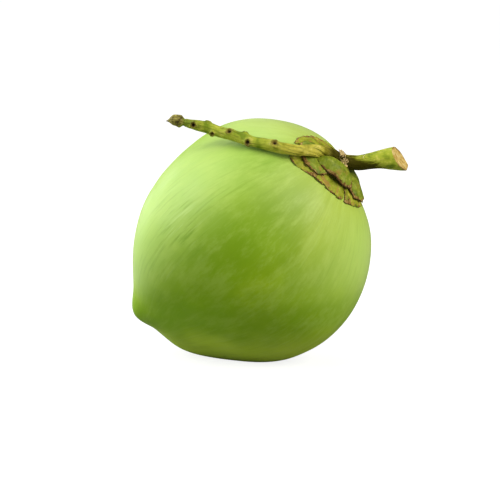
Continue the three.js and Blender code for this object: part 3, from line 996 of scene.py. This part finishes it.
# %% The Fibres group
def fibres_group():
    group, net, given, result = new_group(
        "Fibres",
        {
            "Vector": ("Vector", (0, 0, 0)), "Across": ("Float", 20.0), "Along": ("Float", 1.0),
            "Patchiness": ("Float", 0.5),
        },
        {"Height": "Float", "Streaks": "Float"},
    )
    parts = net.add("ShaderNodeSeparateXYZ", {"Vector": given["Vector"]}).outputs
    stretched = net.vector(
        net.times(parts["X"], given["Across"]),
        net.times(parts["Y"], given["Across"]),
        net.times(parts["Z"], given["Along"]),
    )
    lines = net.noise(stretched, 1.0, 3.0, 0.6)
    patches = net.slope(net.noise(given["Vector"], 1.6, 1.0), 0.4, 0.62)
    clear = net.blend(given["Patchiness"], WHITE, patches)
    middle = net.minus(lines, 0.5)
    height = net.times(middle, clear)
    streaks = net.times(net.slope(lines, 0.5, 0.68), clear)
    net.feed(result, "Height", height)
    net.feed(result, "Streaks", streaks)
    return group


FIBRES = fibres_group()


def put(piece, material):
    piece.data.materials.append(material)
    print(f"{piece.name} is made of {material.name}")

# %% [markdown]
# ## The husk's skin as a material
#
# The skin is green and waxed. Light and sheen are painted as a pale wash on the ridges that face up, and
# just beside each ridge the fibres show as pale and dark strokes. Shade is painted as a deeper green on the
# flank beyond, on the skin that faces down and at the blossom end. Towards the cap it turns yellower, and
# light bounced from the floor is painted pale where the skin comes close to it.
#
# The masks that say where all this happens were kept in the mesh, so the material mixes one shade after
# another over a mottled green. Painting by hand would do too, but then the colours would not follow the
# ridges when a driving value changes.

# %% The waxy green skin
SKIN = shades((0.3, 0.5, 0.006), (0.25, 0.44, 0.003), (0.37, 0.57, 0.014))
NEAR_CAP = colour(0.53, 0.66, 0.07)
# Painted light and shade over the skin: lit ridges, shaded flank, underside and tip, and floor bounce.
SKIN_ZONES = {
    "pale_wash": (0.74, colour(0.5, 0.76, 0.16)),
    "shaded": (0.6, colour(0.19, 0.38, 0.003)),
    "low": (0.5, colour(0.19, 0.39, 0.004)),
    "tip": (0.6, colour(0.2, 0.38, 0.02)),
    "painted_floor_bounce": (1.0, colour(0.6, 0.82, 0.06)),
}
WAX_CLOUD = colour(0.52, 0.72, 0.13)
PALE_STROKE = colour(0.6, 0.82, 0.24)
DARK_STROKE = colour(0.15, 0.34, 0.004)


def husk_material():
    material, net, shader = new_material("husk_skin", 0.52, 0.5, 0.2)
    shader.inputs["Sheen Roughness"].default_value = 0.5
    shader.inputs["Sheen Tint"].default_value = colour(0.9, 1, 0.8)
    where = net.position()
    way = net.attribute("fibre_way", "Vector")
    from_stem = net.attribute("from_stem")
    strokes = net.attribute("strokes")
    skin = net.place(MOTTLE, Vector=where, Size=0.045, **SKIN)["Color"]
    skin = net.blend(net.slope(from_stem, 1.5, 0.35, 0, 0.6), skin, NEAR_CAP)
    # The zones mix painted light and shade into the colour, one after another.
    for mask, (strength, shade) in SKIN_ZONES.items():
        skin = net.blend(net.times(net.attribute(mask), strength), skin, shade)
    cloud = net.slope(net.noise(net.scaled(way, (7, 7, 3)), 1, 5, 0.72), 0.42, 0.66)
    cloud = net.times(cloud, net.slope(from_stem, 2.5, 1.0, 0.16, 0.4))
    skin = net.blend(cloud, skin, WAX_CLOUD)
    fibres = net.place(FIBRES, Vector=way, Across=36.0, Along=2.4, Patchiness=0.9)
    pale = net.plus(net.times(strokes, 0.5), 0.07)
    skin = net.blend(net.times(fibres["Streaks"], pale), skin, PALE_STROKE)
    hair = net.place(FIBRES, Vector=way, Across=42.0, Along=3.2, Patchiness=0.6)
    dark = net.plus(net.times(strokes, 0.45), 0.14)
    skin = net.blend(net.times(hair["Streaks"], dark), skin, DARK_STROKE)
    net.feed(shader, "Base Color", skin)
    waxed = net.sums("MAXIMUM", net.attribute("pale_wash"), net.slope(from_stem, 1.6, 0.7))
    net.feed(shader, "Specular IOR Level", net.slope(waxed, 0, 1, 0.14, 0.5))
    net.feed(shader, "Sheen Weight", net.slope(waxed, 0, 1, 0, 0.26))
    net.feed(shader, "Roughness", net.slope(net.noise(where, 60, 2), 0.35, 0.65, 0.48, 0.56))
    relief = net.plus(fibres["Height"], net.times(hair["Height"], 0.5))
    net.raise_skin(shader, relief, 0.3, 0.6 * MM)
    return material


put(husk, husk_material())

# %% [markdown]
# ## The scales
#
# Living scale is a dull bluish or olive green with parallel veins and a grey bloom. It withers in ochre
# patches. The dead rim goes from ochre to pinkish brown, and its very edge is dark. `dry` and `withered`
# from the mesh say where, and fine noise crumbles their borders, which would look drawn with a pen if the
# masks were used as they are. Petals and sepals share one recipe with different greens.

# %% The leathery scale
PETAL_OLIVE = shades((0.33, 0.37, 0.018), (0.17, 0.2, 0.004), (0.55, 0.5, 0.07))
SEPAL_GREEN = shades((0.21, 0.28, 0.012), (0.1, 0.15, 0.003), (0.38, 0.43, 0.05))
DEAD_SCALE = shades((0.26, 0.155, 0.035), (0.07, 0.032, 0.006), (0.56, 0.42, 0.15))
GREY_BLOOM = colour(0.4, 0.48, 0.17)
OCHRE = colour(0.4, 0.24, 0.05)
BURNT_EDGE = colour(0.05, 0.022, 0.008)


def scale_material(name, greens, pale_wash):
    material, net, shader = new_material(name, 0.6, 0.15)
    where = net.position()
    dry = net.attribute("dry")
    edge = net.attribute("edge")
    living = net.place(MOTTLE, Vector=where, Size=0.007, **greens)["Color"]
    veined = net.vector(net.attribute("vein"), 0.0, edge)
    lines = net.place(FIBRES, Vector=veined, Across=2.2, Along=1.2, Patchiness=0.3)
    tissue = net.blend(net.times(lines["Streaks"], 0.55), living, greens["Darker"])
    dust = net.slope(net.noise(where, 260, 3, 0.6), 0.45, 0.75, 0, pale_wash)
    tissue = net.blend(dust, tissue, GREY_BLOOM)
    crumble = net.minus(net.noise(where, 900, 2), 0.5)
    patches = net.plus(net.attribute("withered"), net.times(crumble, 0.6))
    tissue = net.blend(net.slope(patches, 0.2, 0.75, 0, 0.8), tissue, OCHRE)
    dead = net.place(MOTTLE, Vector=where, Size=0.0022, **DEAD_SCALE)["Color"]
    border = net.slope(net.plus(dry, net.times(crumble, 0.7)), 0.3, 0.62)
    surface = net.blend(border, tissue, dead)
    lip = net.slope(net.plus(edge, net.times(crumble, 0.03)), 0.982, 0.997)
    lip = net.times(lip, net.slope(dry, 0, 1, 0.2, 0.85))
    surface = net.blend(lip, surface, BURNT_EDGE)
    net.feed(shader, "Base Color", surface)
    net.feed(shader, "Roughness", net.slope(border, 0, 1, 0.5, 0.8))
    relief = net.plus(lines["Height"], net.times(net.noise(where, 500, 3, 0.6), 0.8))
    net.raise_skin(shader, relief, 0.6, 0.5 * MM)
    return material


for piece, name in ((petal_front, "front"), (petal_right, "right"), (petal_back, "back")):
    put(piece, scale_material(f"petal_scale_{name}", PETAL_OLIVE, pale_wash=0.12))
for piece, name in ((sepal_left, "left"), (sepal_right, "right"), (sepal_front, "front")):
    put(piece, scale_material(f"sepal_scale_{name}", SEPAL_GREEN, pale_wash=0.2))

# %% [markdown]
# ## The bark and the cut
#
# The branch is olive green and ripens to yellow where it bends over the fruit. It is streaked along its
# grooves, nearly black with painted shade and dark dirt in the lower half of the thick part, brown round
# the scars and black in their pits, and ochre-brown where its tip has withered. The cut shows cream wood
# with a brown rim. `along` says how far along the branch a point is, so that one material can pass through
# all these stages. Separate materials for each stretch would meet in hard lines.

# %% The bark
GREEN_BARK = shades((0.37, 0.44, 0.03), (0.16, 0.24, 0.004), (0.57, 0.57, 0.08))
RIPE_BARK = shades((0.54, 0.5, 0.055), (0.3, 0.28, 0.015), (0.72, 0.64, 0.14))
WITHERED_SHEATH = shades((0.25, 0.22, 0.04), (0.05, 0.035, 0.006), (0.5, 0.45, 0.13))
CUT_WOOD = shades((0.62, 0.46, 0.14), (0.42, 0.26, 0.05), (0.76, 0.62, 0.28))
GROOVE = colour(0.08, 0.11, 0.005)
YOUNG_TIP = colour(0.12, 0.16, 0.005)
PAINTED_SHADE_AND_DIRT = colour(0.03, 0.024, 0.001)
SCAR_STAIN = colour(0.13, 0.06, 0.014)
SCAR_HOLE = colour(0.02, 0.009, 0.004)
PEELED = colour(0.78, 0.7, 0.38)
CUT_RIM = colour(0.22, 0.1, 0.03)


def painted_shade_and_dirt_below(net, along, grooves):
    """Mask of painted shade and dirt on the lower half of the thick part; its border wanders along the
    grooves.
    """
    coarse = net.noise(net.scaled(grooves, (3, 3, 0.12)), 1, 3, 0.6)
    wander = net.times(net.minus(coarse, 0.5), 2.4)
    reach = net.slope(along, 0.75, 0.92, 1.3, -0.5)
    low = net.slope(net.plus(net.plus(net.attribute("under"), wander), reach), -0.2, 0.6)
    thick = net.times(net.slope(along, 0.58, 0.67), net.slope(along, 0.94, 0.85))
    return net.times(low, thick)


def bark_material():
    material, net, shader = new_material("branch_bark", 0.55, 0.22)
    where = net.position()
    along = net.attribute("along")
    grooves = net.vector(net.attribute("groove_x"), net.attribute("groove_y"), net.attribute("groove_z"))
    green = net.place(MOTTLE, Vector=where, Size=0.008, **GREEN_BARK)["Color"]
    yellow = net.place(MOTTLE, Vector=where, Size=0.008, **RIPE_BARK)["Color"]
    ripening = net.times(net.slope(along, 0.35, 0.5), net.slope(along, 0.85, 0.7))
    bark = net.blend(ripening, green, yellow)
    fibres = net.place(FIBRES, Vector=grooves, Across=4.5, Along=0.09, Patchiness=0.2)
    bark = net.blend(net.times(fibres["Streaks"], 0.75), bark, GROOVE)
    bark = net.blend(net.slope(along, 0.17, 0.08, 0, 0.4), bark, YOUNG_TIP)
    dark = painted_shade_and_dirt_below(net, along, grooves)
    # Painted shade and dark dirt make the lower half of the thick part nearly black.
    bark = net.blend(net.times(dark, 0.94), bark, PAINTED_SHADE_AND_DIRT)
    net.feed(shader, "Specular IOR Level", net.slope(dark, 0, 0.6, 0.22, 0.03))
    withered = net.place(MOTTLE, Vector=where, Size=0.003, **WITHERED_SHEATH)["Color"]
    bark = net.blend(net.attribute("wither"), bark, withered)
    bark = net.blend(net.slope(net.attribute("stain"), 0.2, 0.95, 0, 0.85), bark, SCAR_STAIN)
    bark = net.blend(net.slope(net.attribute("pit"), 0.3, 0.85), bark, SCAR_HOLE)
    bark = net.blend(net.slope(net.attribute("crack"), 0.3, 0.7), bark, PEELED)
    wood = net.place(MOTTLE, Vector=where, Size=0.003, **CUT_WOOD)["Color"]
    heart = net.attribute("heartwood")
    bark = net.blend(net.slope(heart, 0, 0.25), bark, CUT_RIM)
    bark = net.blend(net.slope(heart, 0.35, 0.9), bark, wood)
    net.feed(shader, "Base Color", bark)
    relief = net.plus(fibres["Height"], net.times(net.noise(where, 700, 3, 0.6), 0.5))
    net.raise_skin(shader, relief, 0.6, 0.6 * MM)
    return material


bark = bark_material()
put(branch, bark)
put(seat, bark)

# %% [markdown]
# ## The torn fibre
#
# Dried coconut fibre is brown where it is matted and cream where single strands catch the light. Each
# strand carries one number, `pale`, so neighbours differ. One colour for all would make a solid clump.

# %% The torn fibre
MATTED = shades((0.1, 0.06, 0.018), (0.03, 0.018, 0.006), (0.36, 0.25, 0.1))
CREAM = colour(0.88, 0.7, 0.33)


def fibre_material():
    material, net, shader = new_material("torn_fibre", 0.8, 0.1)
    where = net.position()
    fibre = net.place(MOTTLE, Vector=where, Size=0.002, **MATTED)["Color"]
    fibre = net.blend(net.slope(net.attribute("pale"), 0.2, 0.5), fibre, CREAM)
    net.feed(shader, "Base Color", fibre)
    net.raise_skin(shader, net.noise(where, 1500, 2), 0.5, 0.3 * MM)
    return material


torn_fibre = fibre_material()
put(scrap_upper, torn_fibre)
put(scrap_lower, torn_fibre)

# %% [markdown]
# ## The studio
#
# The fruit lies on plain white, with only a faint shade where it touches. A white floor alone would turn
# grey under soft lamps. So it is a middle grey that also glows, for the camera only: the glow hides its
# shading, and the fruit gets no false light from below. It glows a little less close to the fruit, and
# there the shade stays visible.

# %% Floor
FLOOR_REACH = 6.0
FLOOR_GREY = colour(0.3, 0.3, 0.3)
GLOW_NEAR, GLOW_FAR = 0.84, 1.0


def make_floor():
    mesh = bpy.data.meshes.new("floor")
    corners = [(x * FLOOR_REACH, y * FLOOR_REACH, 0) for x, y in ((-1, -1), (1, -1), (1, 1), (-1, 1))]
    mesh.from_pydata(corners, [], [(0, 1, 2, 3)])
    floor = bpy.data.objects.new("floor", mesh)
    bpy.context.scene.collection.objects.link(floor)
    floor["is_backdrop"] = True
    material, net, shader = new_material("pale_floor", 0.9, 0.1)
    shader.inputs["Base Color"].default_value = FLOOR_GREY
    where = net.position()
    away = net.add("ShaderNodeVectorMath", {0: where}, operation="LENGTH").outputs["Value"]
    seen = net.add("ShaderNodeLightPath").outputs["Is Camera Ray"]
    glow = net.times(seen, net.slope(away, 0.1, 0.5, GLOW_NEAR, GLOW_FAR))
    shader.inputs["Emission Color"].default_value = WHITE
    net.feed(shader, "Emission Strength", glow)
    put(floor, material)


make_floor()

# %% [markdown]
# The light is soft, as under a cloudy sky: one large lamp high on the left, a warmer one on the right, two
# weak ones behind and a dim room. Nothing fills the lower left, so the ridge that faces the camera throws
# its flank into a deep green shade. Smaller lamps would put hard glints on the wax.

# %% Lamps and room
FRUIT = Vector((0.01, 0, 0.09))
LAMP_DISTANCE = 1.2
ROOM_FILL = 0.08


def lamp(name, azimuth, elevation, size, watts, tint=(1, 1, 1)):
    """A square soft lamp, aimed at the fruit. Azimuth 0 is in front, 90 on the right, 180 behind."""
    data = bpy.data.lights.new(name, "AREA")
    data.size = size
    data.energy = watts
    data.color = tint
    light = bpy.data.objects.new(name, data)
    bpy.context.scene.collection.objects.link(light)
    a, e = radians(azimuth), radians(elevation)
    back = Vector((np.sin(a) * np.cos(e), -np.cos(a) * np.cos(e), np.sin(e)))
    light.location = FRUIT + back * LAMP_DISTANCE
    light.rotation_euler = back.to_track_quat("Z", "Y").to_euler()


lamp("key", azimuth=288, elevation=36, size=1.3, watts=17.5)
lamp("right", azimuth=60, elevation=30, size=0.7, watts=12.5, tint=(1, 0.94, 0.86))
lamp("overhead", azimuth=190, elevation=60, size=0.9, watts=3)
lamp("back_left", azimuth=230, elevation=15, size=0.7, watts=5)


def make_room():
    """White to the eye, and only a dim fill to the fruit."""
    world = bpy.data.worlds.new("room")
    world.use_nodes = True
    net = Net(world.node_tree)
    seen = net.add("ShaderNodeLightPath").outputs["Is Camera Ray"]
    strength = net.slope(seen, 0, 1, ROOM_FILL, 1.0)
    sky = world.node_tree.nodes["Background"]
    sky.inputs["Color"].default_value = WHITE
    net.feed(sky, "Strength", strength)
    bpy.context.scene.world = world


make_room()
bpy.context.scene.view_settings.view_transform = "Standard"

# %% [markdown]
# ## The camera
#
# The camera stands straight in front, ten degrees above the floor, with a long lens. A short lens from
# close by would swell the nearest ridge and shrink the cap.

# %% Camera
LENS, SENSOR = 138, 36
CAMERA_DISTANCE = 1.387
CAMERA_RISE = radians(10)
CAMERA_AIM = np.array([0.0087, -0.0037, 0.0811])


def make_camera():
    data = bpy.data.cameras.new("camera")
    data.lens = LENS
    data.sensor_width = SENSOR
    camera = bpy.data.objects.new("camera", data)
    bpy.context.scene.collection.objects.link(camera)
    back = Vector((0, -np.cos(CAMERA_RISE), np.sin(CAMERA_RISE)))
    camera.location = Vector(CAMERA_AIM) + back * CAMERA_DISTANCE
    camera.rotation_euler = back.to_track_quat("Z", "Y").to_euler()
    bpy.context.scene.camera = camera


make_camera()

# %% [markdown]
# ## Measure and finish
#
# The rebuilt pieces should fill the same box as the CAD model, so the difference of the two boxes is
# printed: a millimetre is a frayed margin, and more would be a piece out of place.

# %% Measure and finish
visual_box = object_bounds()
for corner, cad_corner in zip(visual_box, cad_box):
    print("visual minus CAD, mm", [round((a - b) / MM, 1) for a, b in zip(corner, cad_corner)])
